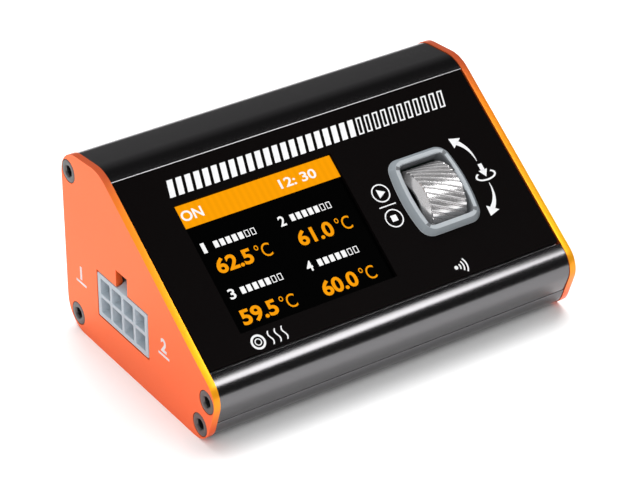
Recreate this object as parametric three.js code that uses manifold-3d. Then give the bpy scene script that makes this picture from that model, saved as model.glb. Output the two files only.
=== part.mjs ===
// A desk controller for four tyre warmers: a wedge-shaped case of two aluminium shells between two end
// plates, with a display and a roller in its sloping face and a multi-way socket in each end.
// Millimetres. +X runs to the right along the case, +Y to its back, +Z up. The case stands on Z = 0.
import * as THREE from 'three';
import { mergeVertices } from 'three/addons/utils/BufferGeometryUtils.js';
import Module from 'manifold-3d';

const wasm = await Module();
wasm.setup();

// Case: length between the end plates, and the five flats of its section.
// Each flat has the direction that it faces, in degrees from +Y towards +Z, and its distance from the
// section's origin. The top's distance is the back parting's height and what the hood adds to it.
const bodyLength = 80;
const plateThickness = 1.4;
const plateOverhang = 0.15;
const wall = 1.5;
const backDistance = 26.55;
const topFacing = 84.8;
const topAboveParting = 28.96;
const slopeFacing = 125.36;
const slopeDistance = 25.44;
const frontFacing = 198.56;
const frontDistance = 22.12;
const bottomBackRadius = 6.07;
const backTopRadius = 5.87;
const topSlopeRadius = 7.83;
const noseRadius = 5;
const frontBottomRadius = 5.42;
const insideRadius = 3;
const frontPartingHeight = 5.24;
const backPartingHeight = 12;
const topDistance = backPartingHeight + topAboveParting;
const partingGap = 0.1;

// Screws: the place of each axis, from the centre of the nearest corner's rounding, and one screw's sizes
const topRearScrew = { y: 3.16, z: 1.37 };
const bottomRearScrew = { y: 2.25, z: -2.48 };
const noseScrew = { y: -2.47, z: -0.14 };
const bottomFrontScrew = { y: -1.91, z: -2.04 };
const screwHeadRadius = 2.3;
const screwShankRadius = 1.25;
const screwLength = 9;
const screwRim = 0.15;
const screwTipChamfer = 0.3;
const hexAcrossCorners = 2.35;
const hexDepth = 1.2;
const screwClearance = 0.12;
const portWall = 0.63;

// Front panel and display: the window takes what its margins leave of the panel, left of the roller
const panelDrop = 0.1;
const panelLowerMargin = 1.6;
const panelThickness = 0.8;
const panelEdgeGap = 0.3;
const seatGap = 0.1;
const seatWall = 1.5;
const windowFromLeft = 9.3;
const windowFromTop = 8;
const windowFromBottom = 5.09;
const glassMargin = 2.5;
const glassThickness = 1.4;
const backlightThickness = 1.5;
const openingGap = 0.3;

// Roller and its bezel
const wheelFromRight = 19.5;
const wheelFromWindow = 16.3;
const wheelFromBottom = 18.39;
const wheelRadius = 7.1;
const wheelDrop = 4.5;
const knurlWidth = 7.1;
const ribFlankStart = 0.12;
const ribCrestStart = 0.3;
const ribCrestEnd = 0.86;
const coneWidth = 1.05;
const coneRadius = 5.6;
const ribCount = 34;
const ribDepth = 0.3;
const coneStep = 0.08;
const helixAngle = 28;
const rimBoreRadius = 4.8;
const coreRecess = 1.2;
const axleRadius = 1;
const runningClearance = 0.1;
const bezelWidth = 14.8;
const bezelHeight = 16.7;
const bezelRise = 1.2;
const bezelChamfer = 0.5;
const bezelCornerRadius = 3.8;
const bezelOpeningWidth = 10.8;
const bezelOpeningHeight = 13.4;
const bezelOpeningRadius = 2.2;
const bezelSkirtWall = 0.9;
const bezelSkirtDepth = 1.5;

// Roller carrier, encoder, switch and frame
const pressTravel = 0.5;
const armGap = 0.4;
const armThickness = 1;
const armHalfHeight = 3;
const armTopMargin = 2.1;
const carrierBase = 1.2;
const wheelToBase = 0.65;
const encoderThickness = 3;
const encoderHalfHeight = 3;
const encoderAbove = 1.7;
const encoderBelow = 3.7;
const switchGap = 0.8;
const switchSide = 4.6;
const switchHeight = 2;
const plungerRadius = 1;
const plungerReach = 0.9;
const slideGap = 0.2;
const frameWall = 1;
const frameFloor = 1;
const frameHalfHeight = 4.5;
const wheelBoardThickness = 0.8;

// Circuit boards
const boardThickness = 1.6;
const mainBoardUnderside = 5.7;
const mainBoardFront = -21.3;
const mainBoardBack = 22.5;
const boardEndGap = 1;
const boardRailWidth = 2;
const boardRailFromMiddle = 16;
const frontBoardThickness = 1.2;
const frontBoardFromTop = 2;
const frontBoardToBottom = 0.4;
const frontRailWidth = 1.8;
const cutoutMargin = 0.5;

// Multi-way sockets
const socketY = 5.4;
const socketZ = 12.68;
const columns = 4;
const rows = 2;
const cellPitch = 4.2;
const cellSide = 3.4;
const socketWidth = 18.1;
const socketHeight = 9.6;
const socketDepth = 9.6;
const cellDepth = 7.8;
const cutoutGap = 0.3;
const notchWidth = 4.1;
const notchHeight = 4;
const rampWidth = 3.5;
const rampRise = 1.2;
const rampRun = 2;
const rampFlat = 0.8;
const pinSide = 1;
const pinRecess = 3.6;
const pinHoleClearance = 0.15;
const pinBelowBoard = 0.8;
const firstBendBehind = 0.7;
const bendStep = 1.6;

// Power inlet
const inletY = 16.2;
const inletZ = 23.9;
const inletWidth = 15;
const inletHeight = 8;
const inletRadius = 1.5;
const inletWall = 1;
const inletDepth = 10;
const inletCavityDepth = 8;
const inletFlangeWidth = 16.6;
const inletFlangeHeight = 9.4;
const inletFlangeThickness = 1.2;
const inletPinRadius = 1.4;
const inletPinPitch = 7.2;
const inletPinRecess = 1;
const inletPinTail = 2;

// Parts on the boards
const partSeat = 0.05;
const capacitorRadius = 4;
const capacitorHeight = 11;
const capacitorChamfer = 0.4;
const capacitorX = -14;
const capacitorSpacing = 10;
const capacitorY = 16.5;
const inductorSide = 10;
const inductorHeight = 4.5;
const inductorChamfer = 1.2;
const inductorX = 10;
const inductorY = 15.5;
const processorSide = 7;
const processorHeight = 1;
const processorX = -12;
const processorY = 1;
const transistorWidth = 6.5;
const transistorDepth = 6;
const transistorHeight = 2.3;
const transistorY = -9;
const transistorSpacing = 10;
const transistorCount = 4;
const radioWidth = 14;
const radioHeight = 7;
const radioThickness = 1.6;
const radioFromLowerEdge = 1.2;
const linkWidth = 10;
const linkThickness = 0.4;
const linkX = -12;
const linkY = -17;
const linkHeaderHeight = 2.2;
const linkHeaderDepth = 2.4;

// Cutting tools reach this far past what they cut
const toolReach = 1;

// Surfaces
const roundSegments = 10;
const cornerSegments = 6;
const boreSegments = 20;
const rimSegments = 40;
const knurlSteps = 4;
const anodised = new THREE.MeshStandardMaterial({ color: 0x2a2a2c, roughness: 0.35, metalness: 0.8 });
const orangePlate = new THREE.MeshStandardMaterial({ color: 0xf9733f, roughness: 0.45, metalness: 0.4 });
const screwSteel = new THREE.MeshStandardMaterial({ color: 0x5a5858, roughness: 0.4, metalness: 0.9 });
const panelBlack = new THREE.MeshStandardMaterial({ color: 0x0d0b0b, roughness: 0.3, metalness: 0 });
const displayBlack = new THREE.MeshStandardMaterial({ color: 0x050505, roughness: 0.1, metalness: 0 });
const whitePlastic = new THREE.MeshStandardMaterial({ color: 0xe8e8e4, roughness: 0.5, metalness: 0 });
const bezelGrey = new THREE.MeshStandardMaterial({ color: 0x8d9599, roughness: 0.5, metalness: 0.1 });
const brightSilver = new THREE.MeshStandardMaterial({ color: 0xd8d6d6, roughness: 0.2, metalness: 1 });
const darkPlastic = new THREE.MeshStandardMaterial({ color: 0x2c2e30, roughness: 0.6, metalness: 0 });
const socketGrey = new THREE.MeshStandardMaterial({ color: 0xb8c0c6, roughness: 0.5, metalness: 0 });
const tinned = new THREE.MeshStandardMaterial({ color: 0xcfcfc8, roughness: 0.3, metalness: 1 });
const brass = new THREE.MeshStandardMaterial({ color: 0xd0a548, roughness: 0.3, metalness: 1 });
const boardGreen = new THREE.MeshStandardMaterial({ color: 0x1d5b38, roughness: 0.5, metalness: 0 });
const ribbonWhite = new THREE.MeshStandardMaterial({ color: 0xdfe3e6, roughness: 0.6, metalness: 0 });

// Solids: a closed mesh as a solid, and joins and cuts of such solids

function solid(geometry) {
  const bare = geometry.index ? geometry.toNonIndexed() : geometry.clone();
  bare.deleteAttribute('normal');
  bare.deleteAttribute('uv');
  const merged = mergeVertices(bare, 1e-4);
  const vertProperties = new Float32Array(merged.attributes.position.array);
  const triVerts = new Uint32Array(merged.index.array);
  return new wasm.Manifold(new wasm.Mesh({ numProp: 3, vertProperties, triVerts }));
}

function geometryOf(manifold) {
  const mesh = manifold.getMesh();
  const geometry = new THREE.BufferGeometry();
  geometry.setAttribute('position', new THREE.BufferAttribute(new Float32Array(mesh.vertProperties), 3));
  geometry.setIndex(new THREE.BufferAttribute(new Uint32Array(mesh.triVerts), 1));
  geometry.computeVertexNormals();
  return geometry;
}

function join(...geometries) {
  return geometryOf(geometries.map(solid).reduce((sum, next) => sum.add(next)));
}

function cut(geometry, ...tools) {
  return geometryOf(tools.map(solid).reduce((rest, tool) => rest.subtract(tool), solid(geometry)));
}

// Shapes

function radians(degrees) {
  return THREE.MathUtils.degToRad(degrees);
}

function box(low, high) {
  const size = new THREE.Vector3().subVectors(high, low);
  const middle = new THREE.Vector3().addVectors(low, high).multiplyScalar(0.5);
  return new THREE.BoxGeometry(size.x, size.y, size.z).translate(middle.x, middle.y, middle.z);
}

function boxBetween(x, y, z) {
  return box(new THREE.Vector3(x[0], y[0], z[0]), new THREE.Vector3(x[1], y[1], z[1]));
}

// A range from its middle and its whole size
function around(middle, size) {
  return [middle - size / 2, middle + size / 2];
}

function inOrder(a, b) {
  return [Math.min(a, b), Math.max(a, b)];
}

// A shape drawn in (Y, Z), extruded along X
function alongX(shape, x, steps = 1, curveSegments = cornerSegments) {
  const geometry = new THREE.ExtrudeGeometry(shape, {
    depth: x[1] - x[0],
    bevelEnabled: false,
    curveSegments,
    steps,
  });
  const turn = new THREE.Matrix4().makeBasis(
    new THREE.Vector3(0, 1, 0),
    new THREE.Vector3(0, 0, 1),
    new THREE.Vector3(1, 0, 0),
  );
  return geometry.applyMatrix4(turn).translate(x[0], 0, 0);
}

// A shape drawn in (X, Y), extruded along Z
function alongZ(shape, z) {
  const geometry = new THREE.ExtrudeGeometry(shape, {
    depth: z[1] - z[0],
    bevelEnabled: false,
    curveSegments: cornerSegments,
  });
  return geometry.translate(0, 0, z[0]);
}

function polygon(points) {
  return new THREE.Shape(points.map(([a, b]) => new THREE.Vector2(a, b)));
}

function roundedRectangle(width, height, radius) {
  const halfWidth = width / 2 - radius;
  const halfHeight = height / 2 - radius;
  const shape = new THREE.Shape();
  const quarters = [[1, 1], [-1, 1], [-1, -1], [1, -1]];
  quarters.forEach(([right, up], quarter) => {
    const start = (quarter * Math.PI) / 2;
    shape.absarc(right * halfWidth, up * halfHeight, radius, start, start + Math.PI / 2, false);
  });
  return shape;
}

// A cylinder along X
function rodX(radius, x, y, z, segments = boreSegments) {
  const geometry = new THREE.CylinderGeometry(radius, radius, x[1] - x[0], segments);
  return geometry.rotateZ(-Math.PI / 2).translate((x[0] + x[1]) / 2, y, z);
}

// A cylinder along Z
function rodZ(radius, x, y, z, segments = boreSegments) {
  const geometry = new THREE.CylinderGeometry(radius, radius, z[1] - z[0], segments);
  return geometry.rotateX(Math.PI / 2).translate(x, y, (z[0] + z[1]) / 2);
}

// A profile of [radius, height] pairs turned about X, with the heights along +X
function turnedX(profile, segments) {
  const points = profile.map(([radius, height]) => new THREE.Vector2(radius, height));
  return new THREE.LatheGeometry(points, segments).rotateZ(-Math.PI / 2);
}

// Section of the case

const flats = [
  { name: 'bottom', facing: -90, distance: 0, radius: bottomBackRadius },
  { name: 'back', facing: 0, distance: backDistance, radius: backTopRadius },
  { name: 'top', facing: topFacing, distance: topDistance, radius: topSlopeRadius },
  { name: 'slope', facing: slopeFacing, distance: slopeDistance, radius: noseRadius },
  { name: 'front', facing: frontFacing, distance: frontDistance, radius: frontBottomRadius },
];

function facing(degrees) {
  return new THREE.Vector2(Math.cos(radians(degrees)), Math.sin(radians(degrees)));
}

// The centre of the arc between a flat and the next one, each moved inwards by its inset
function cornerCentre(index, insets, radius) {
  const first = flats[index];
  const second = flats[(index + 1) % flats.length];
  const a = facing(first.facing);
  const b = facing(second.facing);
  const reachA = first.distance - insets[first.name] - radius;
  const reachB = second.distance - insets[second.name] - radius;
  const determinant = a.x * b.y - a.y * b.x;
  return new THREE.Vector2(
    (reachA * b.y - reachB * a.y) / determinant,
    (reachB * a.x - reachA * b.x) / determinant,
  );
}

function sectionOutline(insets, largestRadius) {
  const shape = new THREE.Shape();
  flats.forEach((flat, index) => {
    const next = flats[(index + 1) % flats.length];
    const radius = Math.min(largestRadius, flat.radius - Math.max(insets[flat.name], insets[next.name]));
    const centre = cornerCentre(index, insets, radius);
    shape.absarc(centre.x, centre.y, radius, radians(flat.facing), radians(next.facing), false);
  });
  return shape;
}

function sectionSolid(insets, x, largestRadius = Infinity) {
  return alongX(sectionOutline(insets, largestRadius), x, 1, roundSegments);
}

const onPlate = { bottom: 0, back: 0, top: 0, slope: 0, front: 0 };
const onBody = {
  bottom: 0,
  back: plateOverhang,
  top: plateOverhang,
  slope: plateOverhang,
  front: plateOverhang,
};
const seatDepth = panelThickness + seatGap;
const inside = {
  bottom: wall,
  back: plateOverhang + wall,
  top: plateOverhang + wall,
  slope: panelDrop + seatDepth + seatWall,
  front: plateOverhang + wall,
};

// The centre of the rounding that follows a flat of the plates
function plateCorner(name) {
  const index = flats.findIndex((flat) => flat.name === name);
  return cornerCentre(index, onPlate, flats[index].radius);
}

const slopeNormal = facing(slopeFacing);
const downSlope = new THREE.Vector2(-slopeNormal.y, slopeNormal.x);
const noseCentre = plateCorner('slope');
const flatTop = plateCorner('top').addScaledVector(slopeNormal, topSlopeRadius);
const flatBottom = noseCentre.clone().addScaledVector(slopeNormal, noseRadius);
const panelTop = flatTop.clone().addScaledVector(slopeNormal, -panelDrop);
const panelHeight = flatTop.distanceTo(flatBottom) - panelLowerMargin;
const depthMiddle = (backDistance + noseCentre.x - noseRadius) / 2;

const halfLength = bodyLength / 2;
const halfOverall = halfLength + plateThickness;

// A point of the section, from its distance down the panel and its height over the panel's face
function onSlope(down, height) {
  return panelTop.clone().addScaledVector(downSlope, down).addScaledVector(slopeNormal, height);
}

// The panel's own frame, from the middle of its top edge: X as in the case, Y up the slope, Z out of it
const panelTurn = radians(slopeFacing - 90);
const panelFrame = new THREE.Matrix4()
  .makeRotationX(panelTurn)
  .setPosition(0, panelTop.x, panelTop.y);

function inPanelFrame(geometry) {
  return geometry.applyMatrix4(panelFrame);
}

const wheelX = halfLength - wheelFromRight;
const wheelY = -(panelHeight - wheelFromBottom);
const windowWidth = wheelX - wheelFromWindow + halfLength - windowFromLeft;
const windowHeight = panelHeight - windowFromTop - windowFromBottom;
const windowX = -halfLength + windowFromLeft + windowWidth / 2;
const windowY = -(windowFromTop + windowHeight / 2);

// Groups

const controller = new THREE.Group();
controller.position.y = -depthMiddle;
const slopeGroup = new THREE.Group();
slopeGroup.position.set(0, panelTop.x, panelTop.y);
slopeGroup.rotation.x = panelTurn;
const wheelGroup = new THREE.Group();
wheelGroup.position.set(wheelX, wheelY, -wheelDrop);
slopeGroup.add(wheelGroup);
controller.add(slopeGroup);

function place(name, geometry, material, group = controller) {
  const mesh = new THREE.Mesh(geometry, material.clone());
  mesh.name = name;
  group.add(mesh);
  return mesh;
}

// Screws

function fromCorner(name, offset) {
  const centre = plateCorner(name);
  return { y: centre.x + offset.y, z: centre.y + offset.z };
}

const screwPlaces = {
  top_rear: fromCorner('back', topRearScrew),
  bottom_rear: fromCorner('bottom', bottomRearScrew),
  nose: fromCorner('slope', noseScrew),
  bottom_front: fromCorner('front', bottomFrontScrew),
};
const headDepth = screwHeadRadius - screwShankRadius;
const portBoreRadius = screwShankRadius + screwClearance;
const portRadius = portBoreRadius + portWall;

// A screw whose head is flush with X = 0 and whose shank runs along -X
function screwGeometry() {
  const profile = [
    [0, -screwLength],
    [screwShankRadius - screwTipChamfer, -screwLength],
    [screwShankRadius, -screwLength + screwTipChamfer],
    [screwShankRadius, -headDepth - screwRim],
    [screwHeadRadius, -screwRim],
    [screwHeadRadius, 0],
    [0, 0],
  ];
  const hex = rodX(hexAcrossCorners / 2, [-hexDepth, hexDepth], 0, 0, 6);
  return cut(turnedX(profile, boreSegments), hex);
}

function countersink() {
  const reach = plateThickness * 2;
  const profile = [
    [0, -reach],
    [portBoreRadius, -reach],
    [portBoreRadius, -headDepth - screwRim - screwClearance],
    [screwHeadRadius + screwClearance, -screwRim],
    [screwHeadRadius + screwClearance, reach],
    [0, reach],
  ];
  return turnedX(profile, boreSegments);
}

for (const [end, turn] of [['left', Math.PI], ['right', 0]]) {
  for (const [name, at] of Object.entries(screwPlaces)) {
    const screw = place(`${end}_${name}_screw`, screwGeometry(), screwSteel);
    screw.position.set(end === 'left' ? -halfOverall : halfOverall, at.y, at.z);
    screw.rotation.z = turn;
  }
}

// Shells

const bodyX = [-halfLength, halfLength];
const beyond = [-halfLength - toolReach, halfLength + toolReach];
const far = 2 * topDistance;

function port(at) {
  return rodX(portRadius, bodyX, at.y, at.z);
}

function portBore(at) {
  return rodX(portBoreRadius, beyond, at.y, at.z);
}

function slopeBand(down, height, x) {
  const corners = [[down[0], height[0]], [down[1], height[0]], [down[1], height[1]], [down[0], height[1]]];
  const points = corners.map(([along, out]) => onSlope(along, out).toArray());
  return alongX(polygon(points), x);
}

const displayWidth = windowWidth + 2 * glassMargin;
const displayHeight = windowHeight + 2 * glassMargin;
const wallUnderside = -seatDepth - seatWall;
const frontBoardTop = -seatDepth - glassThickness - seatGap - backlightThickness - seatGap;
const frontBoardRange = [frontBoardFromTop, panelHeight - frontBoardToBottom];
const skirtWidth = bezelOpeningWidth + 2 * bezelSkirtWall;
const skirtHeight = bezelOpeningHeight + 2 * bezelSkirtWall;
const skirtRadius = bezelOpeningRadius + bezelSkirtWall;

function shellRing() {
  return cut(sectionSolid(onBody, bodyX), sectionSolid(inside, beyond, insideRadius));
}

// What lies below the parting: its top is at one height in front and at another behind
function belowParting(shift) {
  const front = boxBetween(beyond, [-far, 0], [-far, frontPartingHeight + shift]);
  const back = boxBetween(beyond, [0, far], [-far, backPartingHeight + shift]);
  return [front, back];
}

function upperShell() {
  const { top_rear: rear, nose } = screwPlaces;
  const blank = join(cut(shellRing(), ...belowParting(partingGap / 2)), port(rear), port(nose));
  const recess = slopeBand([0, panelHeight], [-seatDepth, far], beyond);
  const railHeights = [frontBoardTop + seatGap, wallUnderside + seatWall / 2];
  const upperRail = slopeBand([frontBoardRange[0], frontBoardRange[0] + frontRailWidth], railHeights, bodyX);
  const lowerRail = slopeBand([frontBoardRange[1] - frontRailWidth, frontBoardRange[1]], railHeights, bodyX);
  const displayOpening = inPanelFrame(boxBetween(
    around(windowX, displayWidth + 2 * openingGap),
    around(windowY, displayHeight + 2 * openingGap),
    [wallUnderside - toolReach, toolReach],
  ));
  const wheelOpening = roundedRectangle(
    skirtWidth + 2 * cutoutMargin + 2 * openingGap,
    skirtHeight + 2 * cutoutMargin + 2 * openingGap,
    skirtRadius,
  );
  const wheelRange = [wallUnderside - toolReach, toolReach];
  const wheelTool = inPanelFrame(alongZ(wheelOpening, wheelRange).translate(wheelX, wheelY, 0));
  const railed = join(cut(blank, recess), upperRail, lowerRail);
  return cut(railed, displayOpening, wheelTool, portBore(rear), portBore(nose));
}

function lowerShell() {
  const ring = solid(shellRing());
  const [low, high] = belowParting(-partingGap / 2).map(solid);
  const tray = geometryOf(ring.intersect(low.add(high)));
  const railTop = mainBoardUnderside - seatGap;
  const rails = [-boardRailFromMiddle, boardRailFromMiddle].map((middle) => (
    boxBetween(bodyX, around(middle, boardRailWidth), [wall / 2, railTop])
  ));
  const { bottom_rear: rear, bottom_front: front } = screwPlaces;
  const blank = join(tray, port(rear), port(front), ...rails);
  return cut(blank, portBore(rear), portBore(front));
}

place('upper_shell', upperShell(), anodised);
place('lower_shell', lowerShell(), anodised);

// End plates: the socket's cut-out has a notch above it for the plug's latch

const cutoutWidth = socketWidth + 2 * cutoutGap;
const cutoutHeight = socketHeight + 2 * cutoutGap;
const socketTop = socketZ + socketHeight / 2;

function endPlate(side) {
  const x = inOrder(side * halfLength, side * halfOverall);
  const through = [x[0] - toolReach, x[1] + toolReach];
  const tools = Object.values(screwPlaces).map((at) => {
    const turned = side < 0 ? countersink().rotateZ(Math.PI) : countersink();
    return turned.translate(side * halfOverall, at.y, at.z);
  });
  tools.push(boxBetween(through, around(socketY, cutoutWidth), around(socketZ, cutoutHeight)));
  tools.push(boxBetween(through, around(socketY, notchWidth), [socketZ, socketTop + notchHeight]));
  if (side > 0) {
    const inlet = roundedRectangle(
      inletWidth + 2 * cutoutGap,
      inletHeight + 2 * cutoutGap,
      inletRadius + cutoutGap,
    );
    tools.push(alongX(inlet, through).translate(0, inletY, inletZ));
  }
  return cut(sectionSolid(onPlate, x), ...tools);
}

place('left_end_plate', endPlate(-1), orangePlate);
place('right_end_plate', endPlate(1), orangePlate);

// Front panel, display and bezel

const panelX = around(0, bodyLength - 2 * panelEdgeGap);

function frontPanel() {
  const sheet = boxBetween(panelX, [-panelHeight + panelEdgeGap, 0], [-panelThickness, 0]);
  const windowTool = boxBetween(around(windowX, windowWidth), around(windowY, windowHeight), [-far, far]);
  const holeWidth = skirtWidth + 2 * openingGap;
  const holeHeight = skirtHeight + 2 * openingGap;
  const hole = roundedRectangle(holeWidth, holeHeight, skirtRadius + openingGap);
  return cut(sheet, windowTool, alongZ(hole, [-far, far]).translate(wheelX, wheelY, 0));
}

function wheelBezel() {
  const lower = -bezelRise;
  const flange = new THREE.ExtrudeGeometry(
    roundedRectangle(bezelWidth, bezelHeight, bezelCornerRadius),
    {
      depth: 2 * bezelRise - 2 * bezelChamfer,
      bevelThickness: bezelChamfer,
      bevelSize: bezelChamfer,
      bevelOffset: -bezelChamfer,
      bevelSegments: 2,
      curveSegments: cornerSegments,
    },
  ).translate(0, 0, lower + bezelChamfer);
  const underPanel = boxBetween([-far, far], [-far, far], [-far, partSeat]);
  const skirtOutline = roundedRectangle(skirtWidth, skirtHeight, skirtRadius);
  const skirt = alongZ(skirtOutline, [-bezelSkirtDepth, bezelRise / 2]);
  const opening = roundedRectangle(bezelOpeningWidth, bezelOpeningHeight, bezelOpeningRadius);
  return cut(join(cut(flange, underPanel), skirt), alongZ(opening, [-far, far]));
}

const glassTop = -seatDepth;
const glassHeights = [glassTop - glassThickness, glassTop];
const backlightHeights = [glassHeights[0] - seatGap - backlightThickness, glassHeights[0] - seatGap];
const displayX = around(windowX, displayWidth);
const displayY = around(windowY, displayHeight);

place('front_panel', frontPanel(), panelBlack, slopeGroup);
place('display_glass', boxBetween(displayX, displayY, glassHeights), displayBlack, slopeGroup);
place('display_backlight', boxBetween(displayX, displayY, backlightHeights), whitePlastic, slopeGroup);
place('wheel_bezel', wheelBezel(), bezelGrey, slopeGroup).position.set(wheelX, wheelY, 0);

// Roller: a ribbed rim on a core that turns with its axle

const halfKnurl = knurlWidth / 2;
const halfRim = halfKnurl + coneWidth;
const halfCore = halfRim - coreRecess;

function ribOutline() {
  const pitch = (2 * Math.PI) / ribCount;
  const root = wheelRadius - ribDepth;
  const steps = [[0, root], [ribFlankStart, root], [ribCrestStart, wheelRadius], [ribCrestEnd, wheelRadius]];
  const points = [];
  for (let rib = 0; rib < ribCount; rib += 1) {
    for (const [share, radius] of steps) {
      const angle = (rib + share) * pitch;
      points.push([radius * Math.cos(angle), radius * Math.sin(angle)]);
    }
  }
  return polygon(points);
}

// Turns each point about X in proportion to its X, which makes straight ribs helical
function twist(geometry, perMillimetre) {
  const position = geometry.attributes.position;
  const axis = new THREE.Vector3(1, 0, 0);
  const point = new THREE.Vector3();
  for (let i = 0; i < position.count; i += 1) {
    point.fromBufferAttribute(position, i);
    point.applyAxisAngle(axis, point.x * perMillimetre);
    position.setXYZ(i, point.x, point.y, point.z);
  }
  return geometry;
}

function wheelRim() {
  const ribbed = alongX(ribOutline(), around(0, knurlWidth), knurlSteps);
  const helical = twist(ribbed, Math.tan(radians(helixAngle)) / wheelRadius);
  const root = wheelRadius - ribDepth - coneStep;
  const cones = turnedX(
    [
      [0, -halfRim],
      [coneRadius, -halfRim],
      [root, -halfKnurl],
      [root, halfKnurl],
      [coneRadius, halfRim],
      [0, halfRim],
    ],
    rimSegments,
  );
  const bore = rodX(rimBoreRadius, [-2 * halfRim, 2 * halfRim], 0, 0, rimSegments);
  return cut(join(helical, cones), bore);
}

const armInner = halfRim + armGap;
const armOuter = armInner + armThickness;
const encoderOuter = armOuter + partSeat + encoderThickness;

function wheelCore() {
  const disc = rodX(rimBoreRadius - partSeat, [-halfCore, halfCore], 0, 0, rimSegments);
  return cut(disc, rodX(axleRadius + partSeat, [-halfRim, halfRim], 0, 0));
}

place('wheel_rim', wheelRim(), brightSilver, wheelGroup);
place('wheel_core', wheelCore(), darkPlastic, wheelGroup);
place('wheel_axle', rodX(axleRadius, [-encoderOuter, armOuter], 0, 0), tinned, wheelGroup);

// Carrier: a yoke with the axle in its arms. It slides inwards with the roller and presses the switch.

const baseTop = -wheelRadius - wheelToBase;
const baseUnderside = baseTop - carrierBase;
const axleHole = rodX(axleRadius + runningClearance, [-far, far], 0, 0);

function wheelCarrier() {
  const acrossV = around(0, 2 * armHalfHeight);
  const arms = [-1, 1].map((side) => (
    boxBetween(inOrder(side * armInner, side * armOuter), acrossV, [baseUnderside, armTopMargin])
  ));
  const base = boxBetween([-armOuter, armOuter], acrossV, [baseUnderside, baseTop]);
  return cut(join(base, ...arms), axleHole);
}

function wheelEncoder() {
  const block = boxBetween(
    [-encoderOuter, -armOuter - partSeat],
    around(0, 2 * encoderHalfHeight),
    [-encoderBelow, encoderAbove],
  );
  return cut(block, axleHole);
}

const switchTop = baseUnderside - switchGap;
const switchUnderside = switchTop - switchHeight;
const plungerEnd = switchTop - plungerReach;
const wellFloor = plungerEnd - pressTravel - runningClearance;

function pressSwitch() {
  const body = boxBetween(around(0, switchSide), around(0, switchSide), [switchUnderside, switchTop]);
  return cut(body, rodZ(plungerRadius + runningClearance, 0, 0, [wellFloor, switchTop + toolReach]));
}

place('wheel_carrier', wheelCarrier(), darkPlastic, wheelGroup);
place('wheel_encoder', wheelEncoder(), whitePlastic, wheelGroup);
place('press_switch', pressSwitch(), darkPlastic, wheelGroup);
place(
  'press_switch_plunger',
  rodZ(plungerRadius, 0, 0, [plungerEnd, baseUnderside - partSeat]),
  whitePlastic,
  wheelGroup,
);

// Frame under the roller: it hangs from the front board and holds the switch on a small board

const frontBoardUnderside = frontBoardTop - frontBoardThickness;
const frameTop = frontBoardUnderside - seatGap + wheelDrop;
const wheelBoardTop = switchUnderside - partSeat;
const floorTop = wheelBoardTop - wheelBoardThickness - partSeat;
const frameRight = [armOuter + slideGap, armOuter + slideGap + frameWall];
const frameLeft = [-encoderOuter - slideGap - frameWall, -encoderOuter - slideGap];

function wheelFrame() {
  const acrossV = around(0, 2 * frameHalfHeight);
  const heights = [floorTop - frameFloor, frameTop];
  const floor = boxBetween([frameLeft[0], frameRight[1]], acrossV, [floorTop - frameFloor, floorTop]);
  return join(floor, boxBetween(frameRight, acrossV, heights), boxBetween(frameLeft, acrossV, heights));
}

place('wheel_frame', wheelFrame(), darkPlastic, wheelGroup);
place(
  'wheel_board',
  boxBetween(
    [frameLeft[1] + slideGap, frameRight[0] - slideGap],
    around(0, 2 * frameHalfHeight),
    [wheelBoardTop - wheelBoardThickness, wheelBoardTop],
  ),
  boardGreen,
  wheelGroup,
);

// Front board: it carries the display and has a cut-out for the roller and its carrier

const frontBoardHeights = [frontBoardUnderside, frontBoardTop];
const boardX = around(0, bodyLength - 2 * boardEndGap);

function frontBoard() {
  const sheet = boxBetween(boardX, [-frontBoardRange[1], -frontBoardRange[0]], frontBoardHeights);
  const cutout = boxBetween(
    [wheelX - encoderOuter - cutoutMargin, wheelX + armOuter + cutoutMargin],
    around(wheelY, 2 * (wheelRadius + cutoutMargin)),
    [-far, far],
  );
  return cut(sheet, cutout);
}

place('front_board', frontBoard(), boardGreen, slopeGroup);

// Main board: it lies on the lower shell's rails, and the sockets' pins pass through it

const mainBoardTop = mainBoardUnderside + boardThickness;
const socketBack = halfOverall - socketDepth;

// The distance from the middle of the case to a row's bend. The upper row bends further in.
function bendX(row) {
  return socketBack - firstBendBehind - row * bendStep;
}

function cellPlace(column, row) {
  return {
    y: socketY + (column - (columns - 1) / 2) * cellPitch,
    z: socketZ + (row - (rows - 1) / 2) * cellPitch,
  };
}

function eachCell(visit) {
  for (let row = 0; row < rows; row += 1) {
    for (let column = 0; column < columns; column += 1) {
      visit(cellPlace(column, row), row, row * columns + column + 1);
    }
  }
}

function mainBoard() {
  const holes = [];
  const holeSide = pinSide + 2 * pinHoleClearance;
  for (const side of [-1, 1]) {
    eachCell((at, row) => {
      holes.push(boxBetween(around(side * bendX(row), holeSide), around(at.y, holeSide), [0, far]));
    });
  }
  const sheet = boxBetween(boardX, [mainBoardFront, mainBoardBack], [mainBoardUnderside, mainBoardTop]);
  return cut(sheet, ...holes);
}

place('main_board', mainBoard(), boardGreen);

// Sockets: square cells with a pin at the back of each, and a ramp on top for the plug's latch

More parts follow.
